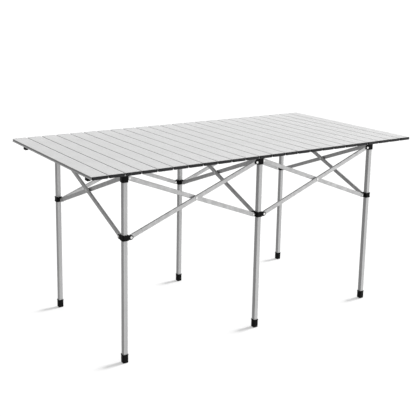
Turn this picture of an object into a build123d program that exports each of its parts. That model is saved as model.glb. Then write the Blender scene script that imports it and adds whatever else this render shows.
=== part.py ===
from build123d import *
from math import atan2, degrees, hypot
import os

# Folding picnic table: a slatted aluminium top that rolls up, on six square legs joined by
# scissor bars.  Millimetres, +Z up, +X along the length.  The origin is on the ground under
# the middle of the top.  "rising" bars climb towards +X or +Y, "falling" bars descend.

# Whole table
top_length = 1400.0
top_width = 700.0
table_height = 680.0
leg_spacing = 550.0
running_gap = 0.3           # axial gap between faces that turn on each other

# Slats
slat_count = 24
slat_joint_gap = 3.2
slat_thickness = 10.0
slat_wall = 0.8
slat_edge_round = 0.8
slat_foot_gap = 0.6         # between the lips at the bottom of two slats
slat_lip_height = 3.0
cell_count = 3
cap_plate = 4.0             # thickness of the end cap outside the extrusion
cap_side_inset = 1.4        # the cap is this much narrower than the slat's top, each side
cap_plug_depth = 9.0
cap_plug_clearance = 0.15

# Elastic cords through the slats, and the clips that hold their ends
cord_radius = 2.0
cord_hole_radius = 2.6
cord_side_offset = 270.0
cord_end_inset = 4.0
cord_knot_radius = 3.6
cord_knot_inset = 8.0
clip_length = 13.0
clip_width = 20.0
clip_height = 20.0
clip_inset = 24.0           # from the end of the top to the middle of the clip
clip_eye_radius = 4.0
clip_eye_drop = 11.0        # from the slat's bottom to the middle of the eye
clip_post_radius = 2.4
clip_post_height = 2.6

# Legs
tube_side = 17.0
tube_wall = 1.2
tube_round = 2.5
tube_bottom = 4.0
tube_top = 664.0
fitting_clearance = 0.1

# Feet
foot_side = 19.8
foot_height = 31.0
foot_round = 3.4
foot_rim_side = 21.0
foot_rim_height = 3.0

# Brackets and collars
body_side = 21.6
body_round = 3.0
bracket_bottom = 631.0
bracket_top = 669.5
pad_side = 30.0
pad_height = 3.0
collar_height = 19.0
collar_bore_clearance = 0.4
collar_rim_side = 23.0
collar_rim_height = 3.5

# Scissor bars, their pivots and rivets
top_pivot_height = 641.0
collar_pivot_height = 443.0
pivot_offset = 20.0         # from a leg's axis to the pivot beside it
bar_width = 15.4
bar_thickness = 7.5
bar_wall = 1.0
bar_edge_round = 2.0
bar_plane_offset = 4.25     # from the leg's middle plane to the middle of a bar
ear_radius = 8.0
ear_thickness = 2.7
rivet_radius = 2.4
rivet_hole_clearance = 0.08
rivet_head_radius = 4.7
rivet_head_height = 1.6
rivet_head_round = 1.1
spacer_radius = 5.5

# Worked out from the sizes above
slat_pitch = top_length / slat_count
slat_width = slat_pitch - slat_joint_gap
slat_bottom = table_height - slat_thickness
slat_length = top_width - 2 * cap_plate
cord_height = slat_bottom + slat_thickness / 2
cell_width = (slat_width - (cell_count + 1) * slat_wall) / cell_count
cell_height = slat_thickness - 2 * slat_wall
bar_inner_face = bar_plane_offset - bar_thickness / 2
bar_outer_face = bar_plane_offset + bar_thickness / 2
ear_inner_face = bar_outer_face + running_gap
ear_outer_face = ear_inner_face + ear_thickness
bar_run = leg_spacing - 2 * pivot_offset
bar_rise = top_pivot_height - collar_pivot_height
bar_length = hypot(bar_run, bar_rise)
bar_slope = degrees(atan2(bar_rise, bar_run))

leg_columns = {"left": -leg_spacing, "middle": 0.0, "right": leg_spacing}
leg_rows = {"front": -leg_spacing / 2, "back": leg_spacing / 2}


def prism(side, height, bottom, corner):
    """A square column with rounded corners, centred on Z."""
    outline = RectangleRounded(side, side, corner)
    return extrude(Plane.XY.offset(bottom) * outline, height)


def rod(radius, start, end):
    """A round rod along Y from start to end."""
    low, high = min(start, end), max(start, end)
    return Pos(0, (low + high) / 2, 0) * Rot(90, 0, 0) * Cylinder(radius, high - low)


def save(node, *solids):
    """Write one sub-part's solids to its own file."""
    pieces = [piece for solid in solids for piece in solid.solids()]
    export_step(Compound(children=pieces), f"parts/{node}.step")


# ---------------------------------------------------------------- table top

def slat_outline():
    """Section of a slat: a flat box with a lip along the bottom of each side."""
    half_top = slat_width / 2
    half_lip = (slat_pitch - slat_foot_gap) / 2
    lip_top = slat_bottom + slat_lip_height
    lip_edge = lip_top - (half_lip - half_top)
    outline = Polygon(
        (-half_lip, slat_bottom), (half_lip, slat_bottom), (half_lip, lip_edge),
        (half_top, lip_top), (half_top, table_height), (-half_top, table_height),
        (-half_top, lip_top), (-half_lip, lip_edge),
        align=None,
    )
    sharp_reach = (lip_top - lip_edge) / 2      # the two inner corners above the lips stay sharp
    rounded = [corner for corner in outline.vertices() if abs(corner.Y - lip_top) > sharp_reach]
    return fillet(rounded, slat_edge_round)


def cap_outline():
    """Section of an end cap: a little narrower than the slat, with well-rounded corners."""
    outline = Rectangle(slat_width - 2 * cap_side_inset, slat_thickness)
    return Pos(0, cord_height) * fillet(outline.vertices(), 2 * slat_edge_round)


def cell_centres():
    """Middle of each hollow cell across the slat."""
    step = cell_width + slat_wall
    return [step * (cell - (cell_count - 1) / 2) for cell in range(cell_count)]


def across_slat(section, length, middle):
    """Extrude a section drawn in X and Z along Y, centred on middle."""
    start = Plane(origin=(0, middle + length / 2, 0), x_dir=(1, 0, 0), z_dir=(0, -1, 0))
    return extrude(start * section, length)


def slat_extrusion():
    """Hollow slat with three cells, and cross holes for the two cords."""
    slat = across_slat(slat_outline(), slat_length, 0)
    for centre in cell_centres():
        cell = Pos(centre, cord_height) * Rectangle(cell_width, cell_height)
        slat -= across_slat(cell, slat_length, 0)
    for side in (-1, 1):
        hole = Rot(0, 90, 0) * Cylinder(cord_hole_radius, slat_pitch)
        slat -= Pos(0, side * cord_side_offset, cord_height) * hole
    return slat


def slat_cap(side):
    """Moulded end cap: a plate the shape of the slat, with one plug for each cell."""
    plate_middle = side * (top_width - cap_plate) / 2
    cap = across_slat(cap_outline(), cap_plate, plate_middle)
    plug_width = cell_width - 2 * cap_plug_clearance
    plug_height = cell_height - 2 * cap_plug_clearance
    plug_middle = side * (slat_length - cap_plug_depth) / 2
    for centre in cell_centres():
        plug = Pos(centre, cord_height) * Rectangle(plug_width, plug_height)
        cap += across_slat(plug, cap_plug_depth, plug_middle)
    return cap


def slat_middle(number):
    """X position of a slat, counted from 1 at the left end."""
    return -top_length / 2 + slat_pitch * (number - 0.5)


def clip_place(side):
    """Where a clip meets the bottom of the first slat."""
    return Pos(clip_inset - top_length / 2, side * cord_side_offset, slat_bottom)


def end_clip(side):
    """Clip under the first slat: a rounded block with an eye, held by a post."""
    block = Pos(0, 0, -clip_height / 2) * Box(clip_length, clip_width, clip_height)
    block = fillet(block.edges().filter_by(Axis.Z), 3)
    block = fillet(block.faces().sort_by(Axis.Z)[0].edges(), 2)
    block -= Pos(0, 0, -clip_eye_drop) * rod(clip_eye_radius, -clip_width, clip_width)
    post_height = clip_post_height + slat_wall
    block += Pos(0, 0, post_height / 2 - slat_wall) * Cylinder(clip_post_radius, post_height)
    return clip_place(side) * block


def elastic_cord(side):
    """One elastic cord through every slat, with a knot inside each end slat."""
    length = top_length - 2 * cord_end_inset
    cord = Rot(0, 90, 0) * Cylinder(cord_radius, length)
    for end in (-1, 1):
        cord += Pos(end * (top_length / 2 - cord_knot_inset), 0, 0) * Sphere(cord_knot_radius)
    return Pos(0, side * cord_side_offset, cord_height) * cord


def make_top():
    extrusion = slat_extrusion()
    caps = [slat_cap(side) for side in (-1, 1)]
    for number in range(1, slat_count + 1):
        place = Pos(slat_middle(number), 0, 0)
        slat = place * extrusion
        if number == 1:
            for side in (-1, 1):
                hole = Cylinder(clip_post_radius + fitting_clearance, 4 * slat_wall)
                slat -= clip_place(side) * hole
        save(f"slat_{number:02d}", slat, *[place * cap for cap in caps])
    save("end_clips", *[end_clip(side) for side in (-1, 1)])
    save("elastic_cords", *[elastic_cord(side) for side in (-1, 1)])


# ---------------------------------------------------------------- legs

def leg_tube():
    """Square tube, from inside the foot to inside the bracket."""
    height = tube_top - tube_bottom
    bore_side = tube_side - 2 * tube_wall
    tube = prism(tube_side, height, tube_bottom, tube_round)
    return tube - prism(bore_side, height, tube_bottom, tube_round - tube_wall)


def tube_pocket(bottom, height):
    """Room for the tube inside a fitting."""
    side = tube_side + 2 * fitting_clearance
    return prism(side, height, bottom, tube_round)


def foot():
    """Moulded foot over the end of the tube, with a rim and a rounded sole."""
    body = prism(foot_side, foot_height, 0, foot_round)
    body = fillet(body.faces().sort_by(Axis.Z)[0].edges(), foot_round - 0.4)
    rim_bottom = foot_height - foot_rim_height
    body += prism(foot_rim_side, foot_rim_height, rim_bottom, foot_round)
    return body - tube_pocket(tube_bottom, foot_height)


def ear(pivot_height, heading, side):
    """Tongue beside a fitting, on the outer side of a bar, with the bar's rivet hole."""
    middle = side * (ear_inner_face + ear_outer_face) / 2
    root = body_side / 2 - body_round
    tongue = Pos((root + pivot_offset) / 2, middle, 0) * Box(
        pivot_offset - root, ear_thickness, 2 * ear_radius
    )
    tip = Pos(pivot_offset, 0, 0) * rod(ear_radius, side * ear_inner_face, side * ear_outer_face)
    hole = Pos(pivot_offset, 0, 0) * rod(
        rivet_radius + rivet_hole_clearance, 0, side * 2 * ear_outer_face
    )
    return Pos(0, 0, pivot_height) * Rot(0, 0, heading) * (tongue + tip - hole)


def neighbours(column, row):
    """Headings in degrees from a leg to the legs that its bars reach, with +1 along X."""
    found = []
    if column != "right":
        found.append((0, 1))
    if column != "left":
        found.append((180, 1))
    found.append((90, -1) if row == "front" else (270, -1))
    return found


def top_bracket(column, row):
    """Cap on the leg with a pad under the slats and one ear for each bar."""
    height = bracket_top - bracket_bottom
    body = prism(body_side, height, bracket_bottom, body_round)
    body += prism(pad_side, pad_height, bracket_top - pad_height, body_round)
    for heading, along_x in neighbours(column, row):
        body += ear(top_pivot_height, heading, along_x)
    return body - tube_pocket(bracket_bottom, tube_top - bracket_bottom)


def sliding_collar(column, row):
    """Ring that slides on the leg, with one ear for each bar."""
    bottom = collar_pivot_height - collar_height / 2
    body = prism(body_side, collar_height, bottom, body_round)
    for rim_bottom in (bottom, bottom + collar_height - collar_rim_height):
        body += prism(collar_rim_side, collar_rim_height, rim_bottom, body_round)
    for heading, along_x in neighbours(column, row):
        body += ear(collar_pivot_height, heading, -along_x)
    bore_side = tube_side + 2 * collar_bore_clearance
    return body - prism(bore_side, collar_height, bottom, tube_round)


def make_legs():
    for row, y in leg_rows.items():
        for column, x in leg_columns.items():
            place = Pos(x, y, 0)
            name = f"{row}_{column}"
            save(f"{name}_leg", place * leg_tube())
            save(f"{name}_leg_fittings", place * foot(), place * top_bracket(column, row))
            save(f"{name}_collar", place * sliding_collar(column, row))


# ---------------------------------------------------------------- scissor bars

def rivet_head(start, outward):
    """Domed head on the Y axis, from start towards outward (+1 or -1)."""
    head = rod(rivet_head_radius, start, start + outward * rivet_head_height)
    rim = head.faces().sort_by(Axis.Y)[-1 if outward > 0 else 0].edges()
    return fillet(rim, rivet_head_round)


def end_rivet(side):
    """Rivet through a bar's end and the ear on its outer side."""
    inner = side * bar_inner_face
    outer = side * (ear_outer_face + running_gap)
    shank = rod(rivet_radius, inner, outer)
    return shank + rivet_head(inner, -side) + rivet_head(outer, side)


def middle_rivet(side):
    """Rivet and spacer where two bars cross, carried by the bar on this side."""
    near = side * bar_outer_face
    far = -side * (bar_outer_face + running_gap)
    rivet = rod(rivet_radius, near, far) + rivet_head(near, side) + rivet_head(far, -side)
    spacer = rod(spacer_radius, side * bar_inner_face, -side * (bar_inner_face - running_gap))
    return rivet + spacer


def scissor_bar(side, carries_middle_rivet):
    """Oval tube along X, centred between its end rivets, on one side of the middle plane."""
    plane = Plane(origin=(0, side * bar_plane_offset + bar_thickness / 2, 0),
                  x_dir=(1, 0, 0), z_dir=(0, -1, 0))
    bar = extrude(plane * SlotCenterToCenter(bar_length, bar_width), bar_thickness)
    flat_faces = bar.faces().filter_by(Axis.Y)
    bar = fillet(flat_faces.edges(), bar_edge_round)
    cavity_plane = Plane(
        origin=(0, side * bar_plane_offset + bar_thickness / 2 - bar_wall, 0),
        x_dir=(1, 0, 0), z_dir=(0, -1, 0),
    )
    cavity = SlotCenterToCenter(bar_length, bar_width - 2 * bar_wall)
    bar -= extrude(cavity_plane * cavity, bar_thickness - 2 * bar_wall)
    hole = rod(rivet_radius + rivet_hole_clearance, 0, side * 2 * bar_outer_face)
    rivets = []
    for end in (-1, 1):
        place = Pos(end * bar_length / 2, 0, 0)
        bar -= place * hole
        rivets.append(place * end_rivet(side))
    bar -= hole
    if carries_middle_rivet:
        rivets.append(middle_rivet(side))
    return [bar, *rivets]


def make_scissor(name, x, y, heading):
    """Two crossed bars, centred at x and y, in the vertical plane of the heading."""
    middle_height = (top_pivot_height + collar_pivot_height) / 2
    along_x = 1 if heading == 0 else -1
    for kind, side, tilt in (("falling", along_x, bar_slope), ("rising", -along_x, -bar_slope)):
        place = Pos(x, y, middle_height) * Rot(0, 0, heading) * Rot(0, tilt, 0)
        solids = scissor_bar(side, kind == "rising")
        save(f"{name}_{kind}_bar", *[place * solid for solid in solids])


def make_scissors():
    for row, y in leg_rows.items():
        for bay, x in (("left", -leg_spacing / 2), ("right", leg_spacing / 2)):
            make_scissor(f"{row}_{bay}", x, y, 0)
    for column, x in leg_columns.items():
        make_scissor(f"{column}_cross", x, 0, 90)


os.makedirs("parts", exist_ok=True)
make_top()
make_legs()
make_scissors()
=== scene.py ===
from math import cos, pi, sin, sqrt, tau

import bmesh
import bpy
from mathutils import Matrix, Vector


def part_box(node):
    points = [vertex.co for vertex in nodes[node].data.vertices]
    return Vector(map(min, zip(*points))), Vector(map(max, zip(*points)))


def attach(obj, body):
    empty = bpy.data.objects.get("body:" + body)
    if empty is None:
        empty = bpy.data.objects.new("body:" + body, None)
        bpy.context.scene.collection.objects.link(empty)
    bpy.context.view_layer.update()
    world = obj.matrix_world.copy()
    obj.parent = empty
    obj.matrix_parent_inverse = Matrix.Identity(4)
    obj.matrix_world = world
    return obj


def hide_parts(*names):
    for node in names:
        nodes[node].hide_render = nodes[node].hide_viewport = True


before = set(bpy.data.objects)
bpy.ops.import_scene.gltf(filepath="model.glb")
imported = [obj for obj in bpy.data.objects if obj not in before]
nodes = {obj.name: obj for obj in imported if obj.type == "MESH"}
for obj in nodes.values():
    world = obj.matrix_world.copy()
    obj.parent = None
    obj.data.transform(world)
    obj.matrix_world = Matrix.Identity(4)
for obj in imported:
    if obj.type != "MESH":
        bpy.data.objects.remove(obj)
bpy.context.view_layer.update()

# Looks of a folding picnic table.  Metres, +Z up, +X along the top, origin on the ground.

scene = bpy.context.scene
scene.view_settings.view_transform = "Standard"

# Sizes that only the looks need, in metres
slat_lip = 0.0013           # how far the lip at a slat's bottom stands out
slat_lip_height = 0.003
slat_skin = 0.0008          # thickness of the extrusion's walls
cell_count = 3              # hollow cells side by side in a slat
edge_round = 0.0008
groove_count = 9            # fine drawn lines along a slat's top
groove_depth = 0.00018
groove_width = 0.0007
cap_side_inset = 0.0014     # from the slat's side to the cap's
cap_corner = 0.0016
cap_plate = 0.004
cap_plug = 0.009
cap_plug_clearance = 0.00015
cap_edge_round = 0.0007
cap_recess = 0.0005
cap_recess_margin = 0.0022
cord_radius = 0.002
knot_radius = 0.0036
knot_inset = 0.004          # from the cord's end to the middle of its knot

# Fineness of the meshes
arc_steps = 3               # edges in a rounded corner
cord_sides = 12
knot_rings = (-1, -0.6, -0.2, 0.2, 0.6, 1)  # along a knot, as parts of its reach
sharp_angle = 0.6           # radians between faces above which an edge is sharp
# Side faces of a slat get a darker copy of the slat metal: painted shade in the joints between
# slats and on the side away from the light
painted_shade_side_normal = 0.9           # a face whose normal has more X than this is a side face
weld_digits = 6             # vertices that agree to this many digits are one point

# Camera
camera_place = (-1.6783, -2.4493, 1.2501)
camera_yaw = 0.5887         # radians from +Y towards +X
camera_pitch = 0.1999       # radians below the horizon
camera_roll = 0.0192
camera_lens = 67.071
camera_sensor = 36.0
camera_shift = -0.15

# Floor and light; each sky is (from low, from high, strength at low, strength at high)
floor_size = 400.0
floor_base = (0.3, 0.3, 0.3, 1)
floor_glow = 0.42
sky_across = (-0.9, 0.9, 0.36, 1.42)
sky_height = (-1.0, 0.3, 0.75, 1.08)
sun_power = 11.5
sun_angle = 0.3             # radians across, which softens the shadows
sun_from = (0.93, 0.0, 0.36)
white = (1, 1, 1, 1)

# How much the roughness varies over a surface, each way, and how deep the finest marks are
metal_roughness_spread = 0.07
plastic_roughness_spread = 0.08
surface_grain = 0.0002

slat_names = sorted(name for name in nodes if name.startswith("slat_"))


# ---------------------------------------------------------------- materials

def link(tree, source, output, target, socket):
    tree.links.new(source.outputs[output], target.inputs[socket])


def grey(value):
    return (value, value, value)


def new_material(name, **values):
    """A Principled material with its values set, its node tree and its shader."""
    material = bpy.data.materials.new(name)
    material.use_nodes = True
    tree = material.node_tree
    shader = tree.nodes["Principled BSDF"]
    for socket, value in values.items():
        shader.inputs[socket.replace("_", " ")].default_value = value
    return material, tree, shader


def coordinates(tree, scale=(1, 1, 1)):
    """Object coordinates stretched by a scale for each axis."""
    source = tree.nodes.new("ShaderNodeTexCoord")
    mapping = tree.nodes.new("ShaderNodeMapping")
    mapping.inputs["Scale"].default_value = scale
    link(tree, source, "Object", mapping, "Vector")
    return mapping


def noise(tree, scale, stretch=(1, 1, 1)):
    """Noise over the object's own coordinates."""
    place = coordinates(tree, stretch)
    texture = tree.nodes.new("ShaderNodeTexNoise")
    texture.inputs["Scale"].default_value = scale
    texture.inputs["Detail"].default_value = 3.0
    link(tree, place, "Vector", texture, "Vector")
    return texture


def ramp(tree, source, output, low, high, start=0.35, end=0.65):
    """Colour that goes from low to high as the source goes from start to end."""
    node = tree.nodes.new("ShaderNodeValToRGB")
    first, last = node.color_ramp.elements
    first.position, last.position = start, end
    first.color, last.color = (*low, 1), (*high, 1)
    link(tree, source, output, node, "Fac")
    return node


def span(tree, source, output, low, high):
    """The source, from 0 to 1, as a value from low to high."""
    node = tree.nodes.new("ShaderNodeMapRange")
    node.inputs["To Min"].default_value = low
    node.inputs["To Max"].default_value = high
    link(tree, source, output, node, "Value")
    return node


def bump(tree, shader, source, output, strength, distance):
    """Tilt the surface's normal by the source."""
    node = tree.nodes.new("ShaderNodeBump")
    node.inputs["Strength"].default_value = strength
    node.inputs["Distance"].default_value = distance
    link(tree, source, output, node, "Height")
    link(tree, node, "Normal", shader, "Normal")


def brushed_aluminium(name, low, high, rough, grain, metallic):
    """Anodised aluminium with fine lines, stretched by the grain, and soft cloudy patches."""
    material, tree, shader = new_material(name, Metallic=metallic)
    lines = noise(tree, 1.0, grain)
    clouds = noise(tree, 6.0)
    colour = ramp(tree, lines, "Fac", low, high)
    patches = ramp(tree, clouds, "Fac", grey(0.93), grey(1.0))
    mix = tree.nodes.new("ShaderNodeMix")
    mix.data_type = "RGBA"
    mix.blend_type = "MULTIPLY"
    mix.inputs["Factor"].default_value = 1.0
    # The colour sockets share their names with others, so they are found by number
    link(tree, colour, "Color", mix, 6)
    link(tree, patches, "Color", mix, 7)
    link(tree, mix, 2, shader, "Base Color")
    spread = metal_roughness_spread
    roughness = span(tree, lines, "Fac", rough - spread, rough + spread)
    link(tree, roughness, "Result", shader, "Roughness")
    bump(tree, shader, lines, "Fac", 0.12, surface_grain)
    return material


def moulded_plastic(name, low, high, rough, specular):
    """Injection-moulded plastic with a fine spark-eroded texture."""
    material, tree, shader = new_material(name, Specular_IOR_Level=specular)
    grain = noise(tree, 900.0)
    clouds = noise(tree, 35.0)
    colour = ramp(tree, clouds, "Fac", low, high)
    link(tree, colour, "Color", shader, "Base Color")
    spread = plastic_roughness_spread
    roughness = span(tree, clouds, "Fac", rough - spread, rough + spread)
    link(tree, roughness, "Result", shader, "Roughness")
    bump(tree, shader, grain, "Fac", 0.25, surface_grain)
    return material


def braided_cord(name):
    """Dark braid over a rubber core."""
    material, tree, shader = new_material(name, Roughness=0.85)
    place = coordinates(tree)
    weave = tree.nodes.new("ShaderNodeTexWave")
    weave.inputs["Scale"].default_value = 260.0
    weave.inputs["Distortion"].default_value = 2.0
    link(tree, place, "Vector", weave, "Vector")
    colour = ramp(tree, weave, "Color", (0.012, 0.012, 0.013), (0.05, 0.05, 0.055))
    link(tree, colour, "Color", shader, "Base Color")
    bump(tree, shader, weave, "Color", 0.6, 0.0005)
    return material


slat_metal = brushed_aluminium(
    "slat_aluminium", grey(0.565), grey(0.655), rough=0.42, grain=(900, 5, 900), metallic=0.75
)
# The slats' side faces: the same aluminium as the tops, painted darker as shade in the joints
# between slats and on the side turned from the light
slat_side_painted_shade = brushed_aluminium(
    "slat_side_aluminium_painted_shade", grey(0.30), grey(0.38), rough=0.5, grain=(900, 5, 900), metallic=0.5
)
leg_metal = brushed_aluminium(
    "leg_aluminium", grey(0.50), grey(0.61), rough=0.42, grain=(700, 700, 4), metallic=0.5
)
bar_metal = brushed_aluminium(
    "bar_aluminium", grey(0.47), grey(0.58), rough=0.38, grain=(60, 60, 60), metallic=0.8
)
rivet_metal = brushed_aluminium(
    "rivet_metal", (0.70, 0.70, 0.69), (0.85, 0.85, 0.84), rough=0.25, grain=(300, 300, 300),
    metallic=0.9
)
black_plastic = moulded_plastic(
    "black_plastic", grey(0.002), grey(0.006), rough=0.55, specular=0.1
)
cap_plastic = moulded_plastic(
    "cap_plastic", (0.009, 0.009, 0.010), (0.017, 0.017, 0.019), rough=0.5, specular=0.3
)
cord_braid = braided_cord("cord_braid")


# ---------------------------------------------------------------- slats

def arc(cx, cz, radius, start, end):
    """Points of a rounded corner, from one angle to another in quarter turns."""
    steps = range(arc_steps + 1)
    angles = [(start + (end - start) * step / arc_steps) * pi / 2 for step in steps]
    return [(cx + radius * cos(a), cz + radius * sin(a)) for a in angles]


def slat_loop(half, bottom, top):
    """Outline of a slat in X and Z: a flat box with lips at the bottom and lines on top."""
    r = edge_round
    lip = half + slat_lip
    lip_top = bottom + slat_lip_height
    points = arc(lip - r, bottom + r, r, -1, 0)
    points += [(lip, lip_top - slat_lip), (half, lip_top)]
    points += arc(half - r, top - r, r, 0, 1)
    step = 2 * (half - 2 * r) / (groove_count + 1)
    for groove in range(groove_count):
        centre = half - 2 * r - step * (groove + 1)
        points += [
            (centre + groove_width / 2, top),
            (centre + groove_width / 4, top - groove_depth),
            (centre - groove_width / 4, top - groove_depth),
            (centre - groove_width / 2, top),
        ]
    points += arc(-half + r, top - r, r, 1, 2)
    points += [(-half, lip_top), (-lip, lip_top - slat_lip)]
    points += arc(-lip + r, bottom + r, r, 2, 3)
    return points


def cap_loop(half, bottom, top, inset):
    """Outline of an end cap in X and Z, drawn in by the inset on every side."""
    r = cap_corner
    x, low, high = half - cap_side_inset - inset - r, bottom + inset + r, top - inset - r
    points = arc(x, low, r, -1, 0) + arc(x, high, r, 0, 1)
    return points + arc(-x, high, r, 1, 2) + arc(-x, low, r, 2, 3)


def cell_loops(half, bottom, top):
    """Outlines of the hollow cells."""
    cell = (2 * half - (cell_count + 1) * slat_skin) / cell_count
    low, high = bottom + slat_skin, top - slat_skin
    loops = []
    for number in range(cell_count):
        centre = (number - (cell_count - 1) / 2) * (cell + slat_skin)
        loops.append([
            (centre - cell / 2, low), (centre + cell / 2, low),
            (centre + cell / 2, high), (centre - cell / 2, high),
        ])
    return loops


def extrude_section(mesh, loops, start, end):
    """A closed body between start and end on Y, from an outline and its holes."""
    rings = []
    for loop in loops:
        rings.append([[mesh.verts.new((x, y, z)) for x, z in loop] for y in (start, end)])
    for front, back in rings:
        count = len(front)
        for i in range(count):
            j = (i + 1) % count
            mesh.faces.new((front[i], front[j], back[j], back[i]))
    for side in (0, 1):
        edges = []
        for ring in rings:
            count = len(ring[side])
            pairs = [(ring[side][i], ring[side][(i + 1) % count]) for i in range(count)]
            edges += [mesh.edges.get(pair) for pair in pairs]
        bmesh.ops.triangle_fill(mesh, use_beauty=True, use_dissolve=False, edges=edges)
    bmesh.ops.recalc_face_normals(mesh, faces=mesh.faces)


def finish_mesh(mesh, name, material):
    """Turn a bmesh into a mesh with smooth shading except over sharp edges."""
    for face in mesh.faces:
        face.smooth = True
    for edge in mesh.edges:
        if len(edge.link_faces) == 2 and edge.calc_face_angle(0) > sharp_angle:
            edge.smooth = False
    data = bpy.data.meshes.new(name)
    mesh.to_mesh(data)
    mesh.free()
    data.materials.append(material)
    return data


def join_rings(mesh, rings):
    """Faces between each ring of vertices and the next."""
    count = len(rings[0])
    for near, far in zip(rings, rings[1:]):
        for i in range(count):
            j = (i + 1) % count
            mesh.faces.new((near[i], near[j], far[j], far[i]))


def end_cap(half, bottom, top, inner, outer, side):
    """The cap at one end: a plate with a shallow recess outside and a plug for each cell."""
    cap = bmesh.new()
    depths = (
        (inner, 0.0), (outer - cap_edge_round, 0.0), (outer, cap_edge_round),
        (outer, cap_recess_margin), (outer - cap_recess, cap_recess_margin + cap_recess),
    )
    rings = []
    for y, inset in depths:
        loop = cap_loop(half, bottom, top, inset)
        rings.append([cap.verts.new((x, side * y, z)) for x, z in loop])
    join_rings(cap, rings)
    cap.faces.new(rings[-1])
    cap.faces.new(rings[0])
    for loop in cell_loops(half, bottom, top):
        xs, zs = zip(*loop)
        left, right = min(xs) + cap_plug_clearance, max(xs) - cap_plug_clearance
        low, high = min(zs) + cap_plug_clearance, max(zs) - cap_plug_clearance
        outline = [(left, low), (right, low), (right, high), (left, high)]
        ends = [
            [cap.verts.new((x, side * y, z)) for x, z in outline]
            for y in (inner, inner - cap_plug)
        ]
        join_rings(cap, ends)
        cap.faces.new(ends[0])
        cap.faces.new(ends[1])
    bmesh.ops.recalc_face_normals(cap, faces=cap.faces)
    return cap


def slat_meshes(half, bottom, top, length):
    """Mesh of the hollow extrusion and mesh of its two end caps, centred on X = 0."""
    outer = length / 2
    inner = outer - cap_plate
    body = bmesh.new()
    loops = [slat_loop(half, bottom, top), *cell_loops(half, bottom, top)]
    extrude_section(body, loops, -inner, inner)
    caps = bmesh.new()
    for side in (-1, 1):
        cap = end_cap(half, bottom, top, inner, outer, side)
        part = bpy.data.meshes.new("part")
        cap.to_mesh(part)
        cap.free()
        caps.from_mesh(part)
        bpy.data.meshes.remove(part)
    slat = finish_mesh(body, "slat", slat_metal)
    # Side faces take the darker copy of the metal: painted shade in the joints between slats
    # and on the shaded side
    slat.materials.append(slat_side_painted_shade)
    for face in slat.polygons:
        if abs(face.normal.x) > painted_shade_side_normal:
            face.material_index = 1
    return slat, finish_mesh(caps, "slat_caps", cap_plastic)


def add_piece(name, data):
    """An object in the scene for the given mesh."""
    piece = bpy.data.objects.new(name, data)
    scene.collection.objects.link(piece)
    return piece


def make_slats():
    """The 24 slats, each an extrusion and its two caps, which ride on the slat's own body."""
    low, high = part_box(slat_names[0])
    half = (high.x - low.x) / 2 - slat_lip
    body_mesh, cap_mesh = slat_meshes(half, low.z, high.z, high.y - low.y)
    for name in slat_names:
        low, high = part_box(name)
        middle = (low.x + high.x) / 2
        extrusion = add_piece(f"{name}_extrusion", body_mesh)
        caps = add_piece(f"{name}_caps", cap_mesh)
        for piece in (extrusion, caps):
            piece.location.x = middle
            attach(piece, name)
        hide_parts(name)


# ---------------------------------------------------------------- cords

def cord_stations(start, end, knots):
    """Places along a stretch of cord with the radius there, and a ball at each of knots."""
    stations = [(start, cord_radius), (end, cord_radius)]
    reach = sqrt(knot_radius ** 2 - cord_radius ** 2)
    for knot in knots:
        for part in knot_rings:
            along = reach * part
            stations.append((knot + along, sqrt(knot_radius ** 2 - along ** 2)))
    return sorted(stations)


def make_cords():
    """Two braided cords, cut at each joint so that every stretch turns with its own slat."""
    low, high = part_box("elastic_cords")
    side = high.y - knot_radius
    height = (low.z + high.z) / 2
    boxes = [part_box(name) for name in slat_names]
    middles = [(a.x + b.x) / 2 for a, b in boxes]
    pitch = middles[1] - middles[0]
    turns = [tau * k / cord_sides for k in range(cord_sides)]
    for name, middle in zip(slat_names, middles):
        start = max(middle - pitch / 2, low.x)
        end = min(middle + pitch / 2, high.x)
        knots = [x for x in (low.x + knot_inset, high.x - knot_inset) if start < x < end]
        mesh = bmesh.new()
        for y in (-side, side):
            rings = [
                [mesh.verts.new((x, y + r * cos(a), height + r * sin(a))) for a in turns]
                for x, r in cord_stations(start, end, knots)
            ]
            join_rings(mesh, rings)
            mesh.faces.new(rings[0])
            mesh.faces.new(rings[-1])
        bmesh.ops.recalc_face_normals(mesh, faces=mesh.faces)
        data = finish_mesh(mesh, "cords", cord_braid)
        cord = add_piece(f"{name}_cords", data)
        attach(cord, name)
        if name == slat_names[0]:
            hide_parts("elastic_cords")


# ---------------------------------------------------------------- carried-over nodes

def islands(data):
    """Lists of face indices, one for each connected solid of a mesh."""
    parent = list(range(len(data.vertices)))
    place = {}
    for vertex in data.vertices:
        key = tuple(round(c, weld_digits) for c in vertex.co)
        parent[vertex.index] = place.setdefault(key, vertex.index)

    def root(i):
        while parent[i] != i:
            parent[i] = parent[parent[i]]
            i = parent[i]
        return i

    for face in data.polygons:
        first = root(face.vertices[0])
        for index in face.vertices[1:]:
            parent[root(index)] = first
    groups = {}
    for face in data.polygons:
        groups.setdefault(root(face.vertices[0]), []).append(face.index)
    return list(groups.values())


def shade(node, *materials):
    """Give a CAD node its materials: the first to its largest solid, the second to the rest."""
    data = node.data
    data.materials.clear()
    for material in materials:
        data.materials.append(material)
    if len(materials) == 1:
        return
    groups = islands(data)
    sizes = []
    for group in groups:
        points = [data.vertices[v].co for f in group for v in data.polygons[f].vertices]
        lows = [min(p[k] for p in points) for k in range(3)]
        highs = [max(p[k] for p in points) for k in range(3)]
        sizes.append(sum((b - a) ** 2 for a, b in zip(lows, highs)))
    largest = sizes.index(max(sizes))
    for number, group in enumerate(groups):
        for face in group:
            data.polygons[face].material_index = 0 if number == largest else 1


def shade_frame():
    """Materials for the CAD nodes that are kept: bars, legs, fittings, collars and clips."""
    for name, node in nodes.items():
        if name.endswith("_bar"):
            shade(node, bar_metal, rivet_metal)
        elif name.endswith("_leg"):
            shade(node, leg_metal)
        elif name.endswith(("_fittings", "_collar", "_clips")):
            shade(node, black_plastic)


# ---------------------------------------------------------------- stage, light, camera

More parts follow.
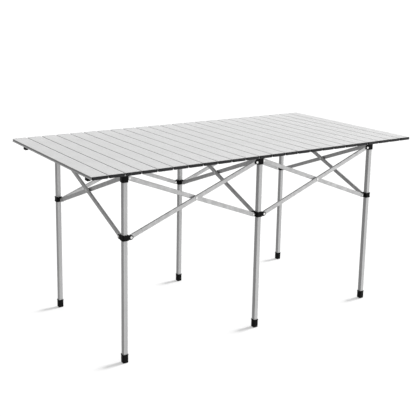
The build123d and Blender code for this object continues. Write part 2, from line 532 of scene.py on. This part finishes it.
def make_stage():
    """A plain white floor, seen by the camera only, so that it doesn't light the table."""
    mesh = bmesh.new()
    bmesh.ops.create_grid(mesh, x_segments=1, y_segments=1, size=floor_size / 2)
    data = bpy.data.meshes.new("floor")
    mesh.to_mesh(data)
    mesh.free()
    floor = bpy.data.objects.new("floor", data)
    scene.collection.objects.link(floor)
    floor.visible_diffuse = False
    floor.visible_glossy = False
    paper, tree, shader = new_material("floor_paper", Roughness=1.0)
    shader.inputs["Specular IOR Level"].default_value = 0.0
    shader.inputs["Base Color"].default_value = floor_base
    shader.inputs["Emission Color"].default_value = white
    shader.inputs["Emission Strength"].default_value = floor_glow
    data.materials.append(paper)
    return floor


def fade(tree, axes, axis, limits):
    """Strength that changes along one axis of the sky."""
    node = tree.nodes.new("ShaderNodeMapRange")
    for socket, value in zip(("From Min", "From Max", "To Min", "To Max"), limits):
        node.inputs[socket].default_value = value
    link(tree, axes, axis, node, "Value")
    return node


def make_sky():
    """Soft studio light from all round, weaker from the left and from below."""
    world = bpy.data.worlds.new("studio")
    world.use_nodes = True
    tree = world.node_tree
    light = tree.nodes["Background"]
    source = tree.nodes.new("ShaderNodeTexCoord")
    axes = tree.nodes.new("ShaderNodeSeparateXYZ")
    link(tree, source, "Generated", axes, "Vector")
    across = fade(tree, axes, "X", sky_across)
    across.interpolation_type = "SMOOTHSTEP"
    height = fade(tree, axes, "Z", sky_height)
    product = tree.nodes.new("ShaderNodeMath")
    product.operation = "MULTIPLY"
    link(tree, across, "Result", product, 0)
    link(tree, height, "Result", product, 1)
    link(tree, product, "Value", light, "Strength")
    light.inputs["Color"].default_value = white
    # The camera itself sees a plain white backdrop
    backdrop = tree.nodes.new("ShaderNodeBackground")
    backdrop.inputs["Color"].default_value = white
    path = tree.nodes.new("ShaderNodeLightPath")
    mix = tree.nodes.new("ShaderNodeMixShader")
    link(tree, path, "Is Camera Ray", mix, "Fac")
    link(tree, light, "Background", mix, 1)
    link(tree, backdrop, "Background", mix, 2)
    link(tree, mix, "Shader", tree.nodes["World Output"], "Surface")
    scene.world = world


def make_sun(floor):
    """A low soft light that only draws the shadows of the feet on the floor."""
    data = bpy.data.lights.new("sun", "SUN")
    data.energy = sun_power
    data.angle = sun_angle
    sun = bpy.data.objects.new("sun", data)
    sun.rotation_euler = (-Vector(sun_from)).to_track_quat("-Z", "Y").to_euler()
    scene.collection.objects.link(sun)
    lit = bpy.data.collections.new("lit_by_sun")
    lit.objects.link(floor)
    shading = bpy.data.collections.new("shading_the_sun")
    for name, node in nodes.items():
        if name.endswith("_fittings"):
            shading.objects.link(node)
    sun.light_linking.receiver_collection = lit
    sun.light_linking.blocker_collection = shading


def make_camera():
    """The camera at its place, turned by its yaw, pitch and roll."""
    data = bpy.data.cameras.new("camera")
    data.lens, data.sensor_width = camera_lens, camera_sensor
    data.shift_y = camera_shift
    ahead = cos(camera_pitch)
    forward = Vector((sin(camera_yaw) * ahead, cos(camera_yaw) * ahead, -sin(camera_pitch)))
    right = Vector((cos(camera_yaw), -sin(camera_yaw), 0))
    up = right.cross(forward)
    level = Matrix((right, up, -forward)).transposed()
    turn = level @ Matrix.Rotation(camera_roll, 3, "Z")
    camera = bpy.data.objects.new("camera", data)
    camera.matrix_world = Matrix.Translation(camera_place) @ turn.to_4x4()
    scene.collection.objects.link(camera)
    scene.camera = camera


make_slats()
make_cords()
shade_frame()
make_sun(make_stage())
make_sky()
make_camera()
